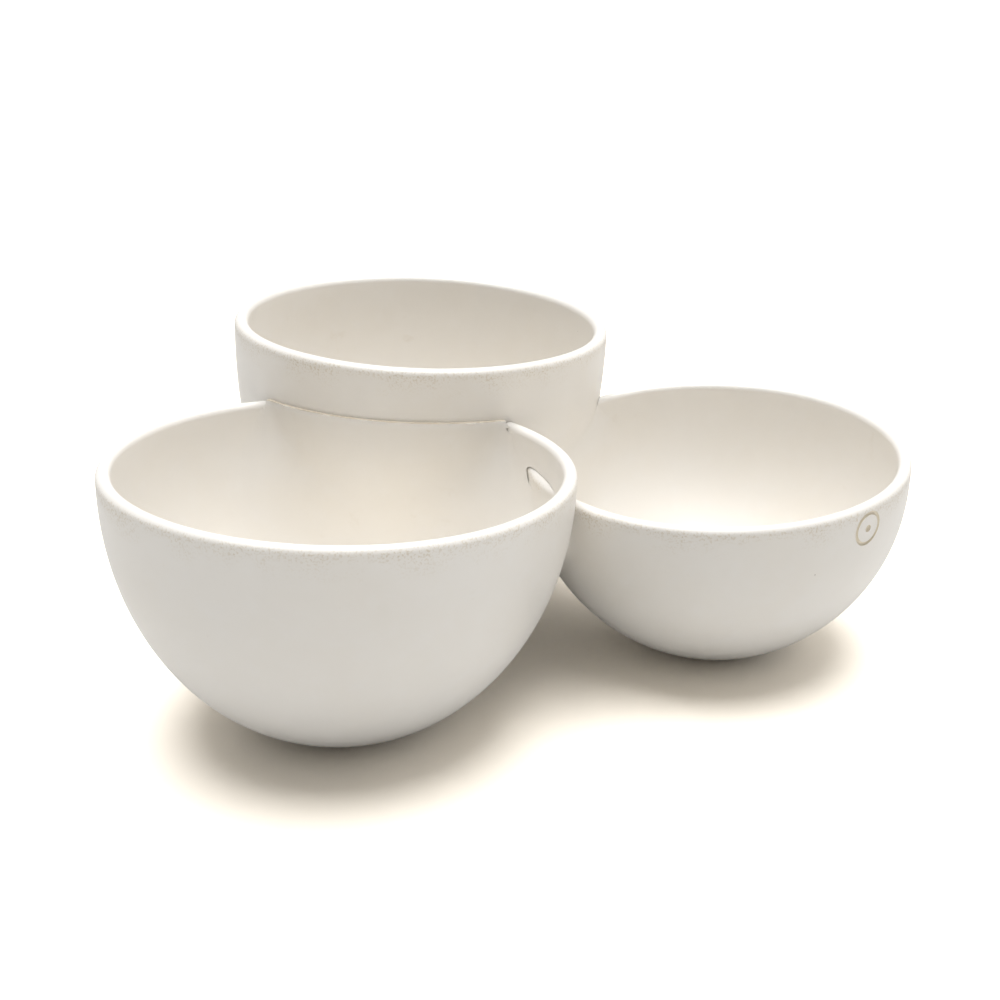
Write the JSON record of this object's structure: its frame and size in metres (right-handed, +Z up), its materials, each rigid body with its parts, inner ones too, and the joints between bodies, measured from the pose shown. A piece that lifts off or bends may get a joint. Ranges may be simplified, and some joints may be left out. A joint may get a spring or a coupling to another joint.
{
  "type": "joined serving bowl set",
  "caption": "Hand-thrown ceramic bowls of different height and width, joined wall into wall as one serving set, with rounded lips, flat feet and a satin cream glaze.",
  "frame": {"origin": "on the table, under the middle of the set's bounding box", "axes": "+Z up out of the bowls' mouths; +X from the front bowl towards the side bowl; +Y from the front bowl towards the back bowl"},
  "size_m": [0.2678, 0.2596, 0.1128],
  "materials": {
    "cream_glaze": "satin cream-white glaze over pale stoneware, thinner and yellower where it breaks over edges, with a few iron specks"
  },
  "bodies": {
    "root": {"back_bowl": "cream_glaze", "front_bowl": "cream_glaze", "side_bowl": "cream_glaze", "front_back_seam": "cream_glaze", "side_back_seam": "cream_glaze", "front_side_seam": "cream_glaze", "front_back_coil": "cream_glaze", "side_back_coil": "cream_glaze", "front_side_coil": "cream_glaze"}
  },
  "joints": []
}
